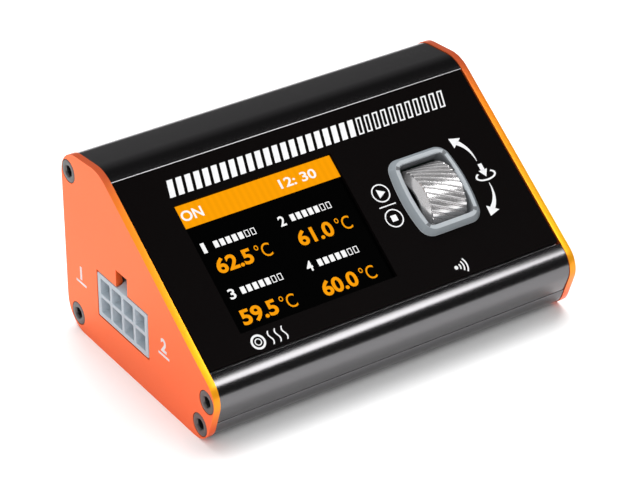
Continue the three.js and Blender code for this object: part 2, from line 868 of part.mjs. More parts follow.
function socketHousing(side) {
  const reach = (near, deep) => inOrder(side * (halfOverall - near), side * (halfOverall - deep));
  const [across, tall] = [around(socketY, socketWidth), around(socketZ, socketHeight)];
  const block = boxBetween(reach(0, socketDepth), across, tall);
  const rampLine = [
    [0, -rampRise],
    [0, 0],
    [rampRun, rampRise],
    [rampRun + rampFlat, rampRise],
    [rampRun + rampFlat, -rampRise],
  ].map(([inward, up]) => [side * (halfOverall - inward), socketTop + up]);
  const ramp = new THREE.ExtrudeGeometry(polygon(rampLine), { depth: rampWidth, bevelEnabled: false })
    .rotateX(Math.PI / 2)
    .translate(0, socketY + rampWidth / 2, 0);
  const stand = boxBetween(
    reach(socketDepth / 2, socketDepth),
    around(socketY, cellPitch),
    [mainBoardTop + seatGap, socketZ - cellPitch],
  );
  const tools = [];
  eachCell((at) => {
    tools.push(boxBetween(reach(-toolReach, cellDepth), around(at.y, cellSide), around(at.z, cellSide)));
    const passage = pinSide + 2 * pinHoleClearance;
    tools.push(boxBetween(reach(0, socketDepth + toolReach), around(at.y, passage), around(at.z, passage)));
  });
  return cut(join(block, ramp, stand), ...tools);
}

// A pin runs from its cell to the bend behind the housing and down through the board
function socketPin(side, at, row) {
  const tip = halfOverall - pinRecess;
  const bendOuter = bendX(row) + pinSide / 2;
  const bendInner = bendX(row) - pinSide / 2;
  const foot = mainBoardUnderside - pinBelowBoard;
  const line = [
    [tip, at.z - pinSide / 2],
    [tip, at.z + pinSide / 2],
    [bendInner, at.z + pinSide / 2],
    [bendInner, foot],
    [bendOuter, foot],
    [bendOuter, at.z - pinSide / 2],
  ].map(([x, z]) => [side * x, z]);
  return new THREE.ExtrudeGeometry(polygon(line), { depth: pinSide, bevelEnabled: false })
    .rotateX(Math.PI / 2)
    .translate(0, at.y + pinSide / 2, 0);
}

for (const [end, side] of [['left', -1], ['right', 1]]) {
  place(`${end}_socket`, socketHousing(side), socketGrey);
  eachCell((at, row, number) => {
    place(`${end}_socket_pin_${number}`, socketPin(side, at, row), tinned);
  });
}

// Power inlet in the right end plate: a shroud with two round pins

const inletInner = halfOverall - inletDepth;

function powerInlet() {
  const outline = roundedRectangle(inletWidth, inletHeight, inletRadius);
  const innerWidth = inletWidth - 2 * inletWall;
  const innerHeight = inletHeight - 2 * inletWall;
  const cavity = roundedRectangle(innerWidth, innerHeight, inletRadius - inletWall / 2);
  const body = alongX(outline, [inletInner, halfOverall]);
  const flange = boxBetween(
    [halfLength - seatGap - inletFlangeThickness, halfLength - seatGap],
    around(0, inletFlangeWidth),
    around(0, inletFlangeHeight),
  );
  const holeRange = [inletInner - toolReach, halfOverall];
  const holes = [-1, 1].map((pole) => (
    rodX(inletPinRadius + pinHoleClearance, holeRange, pole * inletPinPitch / 2, 0)
  ));
  const cavityRange = [halfOverall - inletCavityDepth, halfOverall + toolReach];
  const shell = cut(join(body, flange), alongX(cavity, cavityRange), ...holes);
  return shell.translate(0, inletY, inletZ);
}

function inletPin(pole) {
  const x = [inletInner - inletPinTail, halfOverall - inletPinRecess];
  return rodX(inletPinRadius, x, inletY + pole * inletPinPitch / 2, inletZ);
}

place('power_inlet', powerInlet(), darkPlastic);
place('power_inlet_pin_1', inletPin(-1), brass);
place('power_inlet_pin_2', inletPin(1), brass);

// Parts on the main board

const partBase = mainBoardTop + partSeat;

function chip(x, y, width, depth, height) {
  return boxBetween(around(x, width), around(y, depth), [partBase, partBase + height]);
}

function capacitor() {
  const profile = [
    [0, 0],
    [capacitorRadius, 0],
    [capacitorRadius, capacitorHeight - capacitorChamfer],
    [capacitorRadius - capacitorChamfer, capacitorHeight],
    [0, capacitorHeight],
  ];
  const points = profile.map(([radius, height]) => new THREE.Vector2(radius, height));
  return new THREE.LatheGeometry(points, boreSegments).rotateX(Math.PI / 2);
}

for (const number of [1, 2]) {
  const can = place(`capacitor_${number}`, capacitor(), brightSilver);
  can.position.set(capacitorX + (number - 1) * capacitorSpacing, capacitorY, partBase);
}

function inductor() {
  const half = inductorSide / 2;
  const inner = half - inductorChamfer;
  const corners = [
    [half, inner], [inner, half], [-inner, half], [-half, inner],
    [-half, -inner], [-inner, -half], [inner, -half], [half, -inner],
  ];
  return alongZ(polygon(corners), [partBase, partBase + inductorHeight]).translate(inductorX, inductorY, 0);
}

place('inductor', inductor(), darkPlastic);
place('processor', chip(processorX, processorY, processorSide, processorSide, processorHeight), darkPlastic);
for (let number = 1; number <= transistorCount; number += 1) {
  const x = (number - (transistorCount + 1) / 2) * transistorSpacing;
  const body = chip(x, transistorY, transistorWidth, transistorDepth, transistorHeight);
  place(`driver_transistor_${number}`, body, darkPlastic);
}

// Radio module under the front board, below the roller

const radioLower = -frontBoardRange[1] + radioFromLowerEdge;
place(
  'radio_module',
  boxBetween(
    around(wheelX, radioWidth),
    [radioLower, radioLower + radioHeight],
    [frontBoardUnderside - partSeat - radioThickness, frontBoardUnderside - partSeat],
  ),
  tinned,
  slopeGroup,
);

// Flat cable from a header on the main board up to the front board

const headerTop = partBase + linkHeaderHeight;
place('link_header', chip(linkX, linkY, linkWidth, linkHeaderDepth, linkHeaderHeight), whitePlastic);

function linkCable() {
  const foot = headerTop + partSeat;
  const reach = frontBoardUnderside - seatGap;
  const boardLine = slopeDistance - panelDrop + reach;
  const underBoard = (y) => (boardLine - slopeNormal.x * y) / slopeNormal.y;
  const near = linkY - linkThickness / 2;
  const away = linkY + linkThickness / 2;
  const strip = polygon([[near, foot], [away, foot], [away, underBoard(away)], [near, underBoard(near)]]);
  return alongX(strip, around(linkX, linkWidth));
}

place('link_cable', linkCable(), ribbonWhite);

export default controller;
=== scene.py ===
import math
import bmesh
import bpy
from mathutils import Matrix, Vector
from mathutils.geometry import intersect_point_line


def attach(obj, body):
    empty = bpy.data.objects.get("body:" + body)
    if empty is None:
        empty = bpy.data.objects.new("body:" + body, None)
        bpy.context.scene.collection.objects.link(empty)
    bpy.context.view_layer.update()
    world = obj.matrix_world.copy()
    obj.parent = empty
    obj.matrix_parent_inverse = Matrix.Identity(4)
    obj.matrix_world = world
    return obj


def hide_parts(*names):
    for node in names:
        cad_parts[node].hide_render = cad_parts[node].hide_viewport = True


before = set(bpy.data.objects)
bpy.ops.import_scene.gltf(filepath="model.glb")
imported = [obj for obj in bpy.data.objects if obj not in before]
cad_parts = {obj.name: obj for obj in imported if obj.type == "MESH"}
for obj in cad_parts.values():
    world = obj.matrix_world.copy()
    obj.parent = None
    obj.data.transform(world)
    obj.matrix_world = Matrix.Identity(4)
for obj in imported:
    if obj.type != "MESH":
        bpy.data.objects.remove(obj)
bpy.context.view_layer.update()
scene = bpy.context.scene
scene.view_settings.view_transform = "Standard"

# Camera
# Solved from points of the photograph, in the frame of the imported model.
camera_data = bpy.data.cameras.new("camera")
camera_data.sensor_fit = "HORIZONTAL"
camera_data.sensor_width = 36
camera_data.lens = 148.779
camera_data.clip_start = 0.01
camera = bpy.data.objects.new("camera", camera_data)
scene.collection.objects.link(camera)
azimuth, elevation, roll = (math.radians(v) for v in (-34.3144, 31.7094, 0.2028))
backward = Vector((
    math.sin(azimuth) * math.cos(elevation),
    -math.cos(azimuth) * math.cos(elevation),
    math.sin(elevation),
))
level_right = Vector((0, 0, 1)).cross(backward).normalized()
level_up = backward.cross(level_right)
right = math.cos(roll) * level_right + math.sin(roll) * level_up
up = -math.sin(roll) * level_right + math.cos(roll) * level_up
camera_place = Matrix.Translation((-0.243543, -0.356050, 0.284000))
camera.matrix_world = camera_place @ Matrix((right, up, backward)).transposed().to_4x4()
scene.camera = camera


# Floor and studio light
# A white floor with a faint orange reflection of each plate painted into its colour beside the plate, in a
# dim room that is brighter at the left.
# A wide soft light stands overhead, a fill at the front left, and a soft box makes the streak on the nose.
def nodes_of(material):
    material.use_nodes = True
    tree = material.node_tree
    tree.nodes.clear()
    return tree.nodes, tree.links


def aimed_light(name, place, target, size, watts, glossy=True, diffuse=True):
    data = bpy.data.lights.new(name, "AREA")
    data.shape = "RECTANGLE"
    data.size, data.size_y = size
    data.energy = watts
    lamp = bpy.data.objects.new(name, data)
    scene.collection.objects.link(lamp)
    away = (Vector(place) - Vector(target)).normalized()
    lamp.matrix_world = Matrix.Translation(place) @ away.to_track_quat("Z", "Y").to_matrix().to_4x4()
    lamp.visible_glossy = glossy
    lamp.visible_diffuse = diffuse
    lamp.visible_camera = False


floor_mesh = bmesh.new()
bmesh.ops.create_grid(floor_mesh, x_segments=4, y_segments=4, size=3)
floor_data = bpy.data.meshes.new("floor")
floor_mesh.to_mesh(floor_data)
floor_mesh.free()
floor = bpy.data.objects.new("floor", floor_data)
scene.collection.objects.link(floor)
floor_material = bpy.data.materials.new("floor")
nodes, links = nodes_of(floor_material)
output = nodes.new("ShaderNodeOutputMaterial")
diffuse = nodes.new("ShaderNodeBsdfDiffuse")
links.new(diffuse.outputs["BSDF"], output.inputs["Surface"])
place = nodes.new("ShaderNodeTexCoord")
floor_white = (0.93, 0.93, 0.93, 1)
painted_reflection_colour = (0.95, 0.32, 0.28, 1)
# Painted reflections of the plates in the floor's colour: the middle, the reach and the share of the orange
painted_reflections = [
    ((-0.066, -0.022, 0), (0.034, 0.046, 1), 0.5),
    ((0.062, -0.01, 0), (0.03, 0.03, 1), 0.16),
]
painted_reflection_mix = None
for middle, reach, share in painted_reflections:
    spot = nodes.new("ShaderNodeMapping")
    spot.vector_type = "TEXTURE"
    spot.inputs["Location"].default_value = middle
    spot.inputs["Scale"].default_value = reach
    fade = nodes.new("ShaderNodeTexGradient")
    fade.gradient_type = "QUADRATIC_SPHERE"
    strength = nodes.new("ShaderNodeMath")
    strength.operation = "MULTIPLY"
    strength.inputs[1].default_value = share
    blend = nodes.new("ShaderNodeMix")
    blend.data_type = "RGBA"
    blend.inputs["A"].default_value = floor_white
    blend.inputs["B"].default_value = painted_reflection_colour
    links.new(place.outputs["Object"], spot.inputs["Vector"])
    links.new(spot.outputs["Vector"], fade.inputs["Vector"])
    links.new(fade.outputs["Fac"], strength.inputs[0])
    links.new(strength.outputs["Value"], blend.inputs["Factor"])
    if painted_reflection_mix:
        links.new(painted_reflection_mix.outputs["Result"], blend.inputs["A"])
    painted_reflection_mix = blend
links.new(painted_reflection_mix.outputs["Result"], diffuse.inputs["Color"])
floor_data.materials.append(floor_material)

world = bpy.data.worlds.new("studio")
scene.world = world
world.use_nodes = True
nodes, links = world.node_tree.nodes, world.node_tree.links
nodes.clear()
world_output = nodes.new("ShaderNodeOutputWorld")
room = nodes.new("ShaderNodeBackground")
white = nodes.new("ShaderNodeBackground")
white.inputs["Color"].default_value = (1, 1, 1, 1)
mix = nodes.new("ShaderNodeMixShader")
path = nodes.new("ShaderNodeLightPath")
direction = nodes.new("ShaderNodeTexCoord")
split = nodes.new("ShaderNodeSeparateXYZ")
from_left = nodes.new("ShaderNodeMapRange")
from_left.inputs["From Min"].default_value = 0.3
from_left.inputs["From Max"].default_value = -0.3
from_left.inputs["To Max"].default_value = 0.6
from_back = nodes.new("ShaderNodeMapRange")
from_back.inputs["From Min"].default_value = 0.4
from_back.inputs["From Max"].default_value = 0.85
from_back.inputs["To Min"].default_value = 0.05
from_back.inputs["To Max"].default_value = 0.26
total = nodes.new("ShaderNodeMath")
links.new(direction.outputs["Generated"], split.inputs["Vector"])
links.new(split.outputs["X"], from_left.inputs["Value"])
links.new(split.outputs["Y"], from_back.inputs["Value"])
links.new(from_left.outputs["Result"], total.inputs[0])
links.new(from_back.outputs["Result"], total.inputs[1])
links.new(total.outputs["Value"], room.inputs["Strength"])
links.new(path.outputs["Is Camera Ray"], mix.inputs["Fac"])
links.new(room.outputs["Background"], mix.inputs[1])
links.new(white.outputs["Background"], mix.inputs[2])
links.new(mix.outputs["Shader"], world_output.inputs["Surface"])

aimed_light("overhead", (0.38, 0.42, 1.35), (0, 0, 0), (1.3, 1.3), 30, glossy=False)
aimed_light("front_box", (0.32, -0.345, 0.575), (0, 0, 0.02), (0.30, 0.22), 1.5, diffuse=False)
aimed_light("fill", (-0.7, -0.9, 1.1), (0, 0, 0), (1.6, 1.6), 15, glossy=False)


# Lower shell
# The tray of the case: a black anodised aluminium extrusion with the floor, the bottom roundings and the
# lips up to the parting line. It is cut to length and held by the lower screws of the end plates.
# Each flat of the section has an angle, a distance from the origin and the rounding up to the next flat.
case_flats = [
    (-90, 0, 6.07),
    (0, 26.55, 5.87),
    (84.8, 40.96, 7.83),
    (125.36, 25.44, 5),
    (198.56, 22.12, 5.42),
]
section_shift = -0.0848
body_end = 40.0
MM = 0.001


def facing(degrees):
    return Vector((math.cos(math.radians(degrees)), math.sin(math.radians(degrees))))


def corner(index, insets):
    # The arc between one flat and the next: its centre, its radius and the two directions
    angle_a, reach_a, rounding = case_flats[index]
    angle_b, reach_b, _ = case_flats[(index + 1) % 5]
    inset_a, inset_b = insets[index], insets[(index + 1) % 5]
    rounding -= max(inset_a, inset_b)
    a, b = facing(angle_a), facing(angle_b)
    far_a, far_b = reach_a - inset_a - rounding, reach_b - inset_b - rounding
    area = a.x * b.y - a.y * b.x
    centre = Vector(((far_a * b.y - far_b * a.y) / area, (far_b * a.x - far_a * b.x) / area))
    if angle_b < angle_a:
        angle_b += 360
    return centre, rounding, angle_a, angle_b


def arc(index, insets, steps):
    centre, rounding, start, end = corner(index, insets)
    turns = [start + (end - start) * k / steps for k in range(steps + 1)]
    return [centre + rounding * facing(turn) for turn in turns]


def on_flat(index, insets, height):
    # The point of a flat at one height of the section
    angle, reach, _ = case_flats[index]
    n = facing(angle)
    return Vector(((reach - insets[index] - height * n.y) / n.x, height))


def in_row(points):
    return [(p.x + section_shift, p.y) for p in points]


def thicken(bm, faces, along):
    made = bmesh.ops.extrude_face_region(bm, geom=faces)
    moved = [v for v in made["geom"] if isinstance(v, bmesh.types.BMVert)]
    bmesh.ops.translate(bm, verts=moved, vec=along)


def prism(bm, outline, low, high):
    # A (y, z) outline extruded along X
    base = [bm.verts.new((low, y, z)) for y, z in outline]
    thicken(bm, [bm.faces.new(base)], (high - low, 0, 0))


def bevel_edges(bm, edges, offset, segments=2):
    bmesh.ops.bevel(
        bm, geom=edges, offset=offset, offset_type="OFFSET", segments=segments, profile=0.5,
        affect="EDGES", material=-1, clamp_overlap=True,
    )


def sharp_edges(bm, degrees, test=lambda edge: True):
    return [
        e for e in bm.edges
        if len(e.link_faces) == 2 and e.calc_face_angle(0) > math.radians(degrees) and test(e)
    ]


def is_long(edge):
    return abs(edge.verts[0].co.x - edge.verts[1].co.x) > 70


def piece(name, bm, material, body, replaced=(), smooth_under=35, flat_along=None):
    # Outward faces, millimetres to metres, smooth shading under an angle, and the frame's record of the piece
    bmesh.ops.recalc_face_normals(bm, faces=bm.faces)
    bmesh.ops.scale(bm, vec=(MM, MM, MM), verts=bm.verts)
    data = bpy.data.meshes.new(name)
    bm.to_mesh(data)
    bm.free()
    data.shade_smooth()
    data.set_sharp_from_angle(angle=math.radians(smooth_under))
    if flat_along:
        for polygon in data.polygons:
            if abs(polygon.normal.dot(flat_along)) > 0.9999:
                polygon.use_smooth = False
    data.materials.append(material)
    made = bpy.data.objects.new(name, data)
    scene.collection.objects.link(made)
    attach(made, body)
    if replaced:
        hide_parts(*replaced)
    return made


def surface(
    name, colour, roughness, metallic=0.0, grain=0.1, relief=0.004, uneven=0.1,
    stretch=(1, 1, 1), coat=0.0, ior=1.5,
):
    # A surface with grain: the size of the grain and its relief in millimetres, its unevenness as a share
    material = bpy.data.materials.new(name)
    nodes, links = nodes_of(material)
    output = nodes.new("ShaderNodeOutputMaterial")
    shader = nodes.new("ShaderNodeBsdfPrincipled")
    links.new(shader.outputs["BSDF"], output.inputs["Surface"])
    shader.inputs["Metallic"].default_value = metallic
    shader.inputs["IOR"].default_value = ior
    shader.inputs["Coat Weight"].default_value = coat
    place = nodes.new("ShaderNodeTexCoord")
    mapping = nodes.new("ShaderNodeMapping")
    mapping.inputs["Scale"].default_value = stretch
    links.new(place.outputs["Object"], mapping.inputs["Vector"])
    fine = nodes.new("ShaderNodeTexNoise")
    fine.inputs["Scale"].default_value = 1000 / grain
    fine.inputs["Detail"].default_value = 3
    links.new(mapping.outputs["Vector"], fine.inputs["Vector"])
    wide = nodes.new("ShaderNodeTexNoise")
    wide.inputs["Scale"].default_value = 60
    wide.inputs["Detail"].default_value = 2
    links.new(mapping.outputs["Vector"], wide.inputs["Vector"])
    blend = nodes.new("ShaderNodeMix")
    blend.data_type = "RGBA"
    blend.inputs["A"].default_value = (*colour, 1)
    blend.inputs["B"].default_value = (*[c * (1 - uneven) for c in colour], 1)
    links.new(wide.outputs["Fac"], blend.inputs["Factor"])
    links.new(blend.outputs["Result"], shader.inputs["Base Color"])
    rough = nodes.new("ShaderNodeMapRange")
    rough.inputs["To Min"].default_value = roughness * (1 - uneven)
    rough.inputs["To Max"].default_value = roughness * (1 + uneven)
    links.new(fine.outputs["Fac"], rough.inputs["Value"])
    links.new(rough.outputs["Result"], shader.inputs["Roughness"])
    bump = nodes.new("ShaderNodeBump")
    bump.inputs["Strength"].default_value = 1
    bump.inputs["Distance"].default_value = relief * MM
    links.new(fine.outputs["Fac"], bump.inputs["Height"])
    links.new(bump.outputs["Normal"], shader.inputs["Normal"])
    return material


anodised = surface(
    "black_anodised", (0.155, 0.151, 0.156), 0.2, metallic=1, grain=0.12, relief=0.0012, stretch=(0.25, 1, 1),
)
lip_chamfer = 0.12
body_insets = [0, 0.15, 0.15, 0.15, 0.15]
inner_insets = [1.5, 1.65, 1.65, 2.5, 1.65]
front_lip, back_lip = 5.19, 11.95
bm = bmesh.new()
outer = [on_flat(4, body_insets, front_lip)] + arc(4, body_insets, 16) + arc(0, body_insets, 16)
outer += [on_flat(1, body_insets, back_lip)]
inner = [on_flat(4, inner_insets, front_lip)] + arc(4, inner_insets, 12) + arc(0, inner_insets, 12)
inner += [on_flat(1, inner_insets, back_lip)]
prism(bm, in_row(outer + inner[::-1]), -body_end, body_end)
bevel_edges(bm, sharp_edges(bm, 60, is_long), lip_chamfer)
piece("lower_shell_body", bm, anodised, "case", ["lower_shell"])

# Upper shell
# The hood of the case: the same black anodised extrusion, with the back, the top, the seat for the front
# panel and the nose. Its lips meet the tray at a fine parting line. The slope has two milled openings.
panel_top = Vector((10.1073, 38.2440))
panel_length = 40.487
slope_normal = facing(125.36)
slope_down = Vector((-slope_normal.y, slope_normal.x))
seat = 0.9


def on_slope(down, height):
    return panel_top + down * slope_down + height * slope_normal


bm = bmesh.new()
hood_front_lip, hood_back_lip = 5.29, 12.05
edge_height = -0.05
outer = [on_flat(1, body_insets, hood_back_lip)] + arc(1, body_insets, 16) + arc(2, body_insets, 20)[:-1]
outer += [on_slope(-0.15, edge_height), on_slope(-0.04, -0.09), on_slope(0, -0.2), on_slope(0, -seat)]
outer += [on_slope(panel_length, -seat), on_slope(panel_length, -0.2), on_slope(panel_length + 0.04, -0.09)]
outer += [on_slope(panel_length + 0.15, edge_height)] + arc(3, body_insets, 24)
outer += [on_flat(4, body_insets, hood_front_lip)]
inner = [on_flat(1, inner_insets, hood_back_lip)] + arc(1, inner_insets, 10) + arc(2, inner_insets, 14)
inner += arc(3, inner_insets, 14) + [on_flat(4, inner_insets, hood_front_lip)]
prism(bm, in_row(outer + inner[::-1]), -body_end, body_end)
lips = sharp_edges(bm, 60, lambda e: is_long(e) and e.verts[0].co.z < hood_back_lip + 0.15)
bevel_edges(bm, lips, lip_chamfer)
hood = piece("upper_shell_body", bm, anodised, "case", ["upper_shell"])
tilt = Matrix.Rotation(math.radians(35.36), 4, "X")
panel_normal = tilt @ Vector((0, 0, 1))
panel_frame = Matrix.Translation((0, panel_top.x + section_shift, panel_top.y)) @ tilt


def cut_opening(target, middle, width, height, deep=6, level=-2):
    # A through hole in the slope's wall, by a block across it
    block = bmesh.new()
    bmesh.ops.create_cube(block, size=1)
    bmesh.ops.scale(block, vec=(width, height, deep), verts=block.verts)
    bmesh.ops.translate(block, vec=(*middle, level), verts=block.verts)
    bmesh.ops.transform(block, matrix=Matrix.Scale(MM, 4) @ panel_frame, verts=block.verts)
    block_data = bpy.data.meshes.new("cutter")
    block.to_mesh(block_data)
    block.free()
    cutter = bpy.data.objects.new("cutter", block_data)
    scene.collection.objects.link(cutter)
    modifier = target.modifiers.new("opening", "BOOLEAN")
    modifier.operation = "DIFFERENCE"
    modifier.object = cutter
    result = bpy.data.meshes.new_from_object(target.evaluated_get(bpy.context.evaluated_depsgraph_get()))
    target.modifiers.clear()
    old = target.data
    target.data = result
    result.name = target.name
    bpy.data.meshes.remove(old)
    bpy.data.objects.remove(cutter)
    bpy.data.meshes.remove(block_data)


cut_opening(hood, (-13.25, -21.7), 40.5, 33)
cut_opening(hood, (20.5, -22.1), 14.2, 16.8)

# End plates
# Two flat aluminium plates, orange anodised, with a chamfer round the edge that carries a painted highlight.
# Four countersunk screws hold each, and each has the socket's cut-out with a notch for the latch. The right
# one also has the power inlet's cut-out.
plate_insets = [0, 0, 0, 0, 0]
plate_thickness = 1.4
screw_places = {
    "top_rear": (23.84, 34.72),
    "bottom_rear": (22.73, 3.59),
    "nose": (-23.85, 9.75),
    "bottom_front": (-21.35, 3.38),
}
socket_middle = (5.4 + section_shift, 12.68)
socket_size = (18.1, 9.6)
inlet_middle = (16.2 + section_shift, 23.9)
screw_hole_radius = 2.42
cut_out_gap = 0.3
notch_half, notch_height = 2.05, 4
plate_chamfer = 0.16
painted_highlight_band = 0.3


def circle(middle, radius, steps=32):
    turns = [math.tau * k / steps for k in range(steps)]
    return [(middle[0] + radius * math.cos(t), middle[1] + radius * math.sin(t)) for t in turns]


def rounded(middle, width, height, radius, steps=8):
    points = []
    for quarter, (side, rise) in enumerate([(1, 1), (-1, 1), (-1, -1), (1, -1)]):
        for k in range(steps + 1):
            turn = (quarter + k / steps) * math.pi / 2
            points.append((
                middle[0] + side * (width / 2 - radius) + radius * math.cos(turn),
                middle[1] + rise * (height / 2 - radius) + radius * math.sin(turn),
            ))
    return points


def sheet(bm, outlines, place):
    # A flat face with holes: the first outline is its edge, and place turns (a, b) into a point
    edges = []
    for outline in outlines:
        ring = [bm.verts.new(place(a, b)) for a, b in outline]
        edges += [bm.edges.new((ring[k - 1], ring[k])) for k in range(len(ring))]
    filled = bmesh.ops.triangle_fill(bm, use_beauty=True, use_dissolve=False, edges=edges)
    return [g for g in filled["geom"] if isinstance(g, bmesh.types.BMFace)]


orange = surface("orange_anodised", (0.93, 0.150, 0.028), 0.42, metallic=0.7, grain=0.09, uneven=0.06)
# Painted highlight on the chamfer and rim: the orange made lighter and yellower, changing with the height
# above the floor
orange_edge_painted_highlight = surface(
    "orange_edge_painted_highlight", (1.0, 0.34, 0.008), 0.36, metallic=0.5, grain=0.12, relief=0.003, uneven=0.05,
)
nodes, links = orange_edge_painted_highlight.node_tree.nodes, orange_edge_painted_highlight.node_tree.links
height = nodes.new("ShaderNodeSeparateXYZ")
level = nodes.new("ShaderNodeMapRange")
level.inputs["From Max"].default_value = 40 * MM
painted_highlight_stops = nodes.new("ShaderNodeValToRGB")
painted_highlight_stops.color_ramp.elements[0].position = 0.1
painted_highlight_stops.color_ramp.elements[0].color = (0.9, 0.12, 0.02, 1)
painted_highlight_stops.color_ramp.elements[1].position = 0.98
painted_highlight_stops.color_ramp.elements[1].color = (0.62, 0.1, 0.03, 1)
painted_highlight_colours = [
    (0.25, (1.0, 0.30, 0.006, 1)),
    (0.4, (1.0, 0.52, 0.004, 1)),
    (0.85, (1.0, 0.26, 0.01, 1)),
]
for position, colour in painted_highlight_colours:
    painted_highlight_stops.color_ramp.elements.new(position).color = colour
links.new(nodes["Texture Coordinate"].outputs["Object"], height.inputs["Vector"])
links.new(height.outputs["Z"], level.inputs["Value"])
links.new(level.outputs["Result"], painted_highlight_stops.inputs["Fac"])
links.new(painted_highlight_stops.outputs["Color"], nodes["Principled BSDF"].inputs["Base Color"])
for side, end in ((-1, "left"), (1, "right")):
    outline = []
    for index in range(5):
        outline += arc(index, plate_insets, 18)
    holes = [circle((y + section_shift, z), screw_hole_radius) for y, z in screw_places.values()]
    half_w, half_h = (length / 2 + cut_out_gap for length in socket_size)
    sy, sz = socket_middle
    notch_top = sz + socket_size[1] / 2 + notch_height
    holes.append([
        (sy - half_w, sz - half_h),
        (sy + half_w, sz - half_h),
        (sy + half_w, sz + half_h),
        (sy + notch_half, sz + half_h),
        (sy + notch_half, notch_top),
        (sy - notch_half, notch_top),
        (sy - notch_half, sz + half_h),
        (sy - half_w, sz + half_h),
    ])
    if side > 0:
        holes.append(rounded(inlet_middle, 15.6, 8.6, 1.8))
    bm = bmesh.new()
    inner_x = side * body_end
    faces = sheet(bm, [in_row(outline)] + holes, lambda y, z: (inner_x, y, z))
    thicken(bm, faces, (side * plate_thickness, 0, 0))
    outer_x = inner_x + side * plate_thickness
    rim = sharp_edges(bm, 60, lambda e: all(abs(v.co.x - outer_x) < 1e-4 for v in e.verts))
    bevel_edges(bm, rim, plate_chamfer)
    replaced = [f"{end}_end_plate"]
    along = Vector((1, 0, 0))
    plate = piece(f"{end}_plate", bm, orange, "case", replaced, flat_along=along)
    plate.data.materials.append(orange_edge_painted_highlight)
    border = [Vector(p) for p in in_row(outline)]
    border = [p for k, p in enumerate(border) if (p - border[k - 1]).length > 0.01]
    # The faces of the rim and the chamfer take the painted highlight material
    for polygon in plate.data.polygons:
        centre = Vector((polygon.center.y, polygon.center.z)) / MM
        gap = min(
            (centre - intersect_point_line(centre, a, b)[0].to_2d()).length
            for a, b in zip(border, border[1:] + border[:1])
        )
        if gap < painted_highlight_band and abs(polygon.normal.x) < 0.8:
            polygon.material_index = 1

# Screws
# Countersunk hexagon socket screws of blackened steel, flush in the end plates, their heads turned and
# their sockets pressed with a small lead-in.
steel = surface("screw_steel", (0.13, 0.125, 0.125), 0.38, metallic=1, grain=0.15, relief=0.002, uneven=0.2)
screw_length = 9
shank_radius = 1.25
head_radius, head_depth = 2.3, 1.2
hexagon_half = 1.02


def ring_faces(bm, rings, closed_start=True, closed_end=True):
    # Faces between rings of the same number of points, and caps
    rows = [[bm.verts.new(p) for p in ring] for ring in rings]
    count = len(rows[0])
    for low, high in zip(rows, rows[1:]):
        for k in range(count):
            bm.faces.new((low[k - 1], low[k], high[k], high[k - 1]))
    if closed_start:
        bm.faces.new(rows[0])
    if closed_end:
        bm.faces.new(rows[-1])


def screw_rings(x, side, y, z):
    # The screw from its tip over the shank and the head into the bottom of the socket
    def ring(radius, depth):
        return [(x - side * depth, a, b) for a, b in circle((y, z), radius, 48)]

    def hexagon(apothem, depth):
        points = []
        for k in range(48):
            turn = math.tau * k / 48
            reach = apothem / math.cos((turn + math.pi / 6) % (math.pi / 3) - math.pi / 6)
            points.append((x - side * depth, y + reach * math.cos(turn), z + reach * math.sin(turn)))
        return points

    return [
        ring(0.7, screw_length),
        ring(shank_radius, screw_length - 0.4),
        ring(shank_radius, head_depth),
        ring(head_radius, 0.17),
        ring(head_radius - 0.02, 0.06),
        ring(head_radius - 0.12, 0),
        ring(1.42, 0),
        ring(1.3, 0.04),
        hexagon(hexagon_half, 0.3),
        hexagon(hexagon_half, 1.15),
        ring(0.5, 1.35),
    ]


for side, end in ((-1, "left"), (1, "right")):
    for where, (y, z) in screw_places.items():
        bm = bmesh.new()
        ring_faces(bm, screw_rings(side * (body_end + plate_thickness), side, y + section_shift, z))
        name = f"{end}_{where}_screw"
        piece(f"{name}_head", bm, steel, "case", [name])

# Front panel
# A black sheet with a satin face over the whole slope, with the window of the display and the roller's
# hole, seated in the hood between the two end plates. Its places are millimetres on the slope: to the right
# from the middle, and up from the top edge.
panel_half = 39.7
panel_height = panel_length - 0.4
panel_thickness = 0.8
window = (-30.7, 4.2, -35.4, -8)
window_middle = ((window[0] + window[1]) / 2, (window[2] + window[3]) / 2)
wheel_middle = (20.5, -22.1)


def on_panel(a, b, height=0.0):
    # A point of the panel: a to the right from the middle, b up the slope from the top edge
    return panel_frame @ Vector((a, b, height))


panel_black = surface(
    "panel_black", (0.0028, 0.0022, 0.0022), 0.32, grain=0.2, relief=0.0008, uneven=0.15, ior=1.05,
)
bm = bmesh.new()
edge = rounded((0, -panel_height / 2), 2 * panel_half, panel_height, 0.3, 3)
window_edge = rounded(window_middle, window[1] - window[0], window[3] - window[2], 0.15, 3)
hole_edge = rounded(wheel_middle, 13.2, 15.4, 3.0)
faces = sheet(bm, [edge, window_edge, hole_edge], lambda a, b: on_panel(a, b, -panel_thickness))
thicken(bm, faces, panel_thickness * panel_normal)
bevel_edges(bm, sharp_edges(bm, 60), 0.06)
piece("front_panel_sheet", bm, panel_black, "case", ["front_panel"], flat_along=panel_normal)

# Display
# A colour display module: a black glass slab under the panel's window, lit from behind. Its picture is a
# header band, four labels with bars and four temperatures.
glass = surface("display_glass", (0.0004, 0.0004, 0.0004), 0.3, grain=0.4, relief=0, uneven=0.05, ior=1.03)
pane_thickness = 1.4
bm = bmesh.new()
pane = rounded(window_middle, 39.9, 32.4, 0.5, 3)
faces = sheet(bm, [pane], lambda a, b: on_panel(a, b, -seat - pane_thickness))
thicken(bm, faces, pane_thickness * panel_normal)
bevel_edges(bm, sharp_edges(bm, 60), 0.1)
piece("display_pane", bm, glass, "case", ["display_glass"], flat_along=panel_normal)


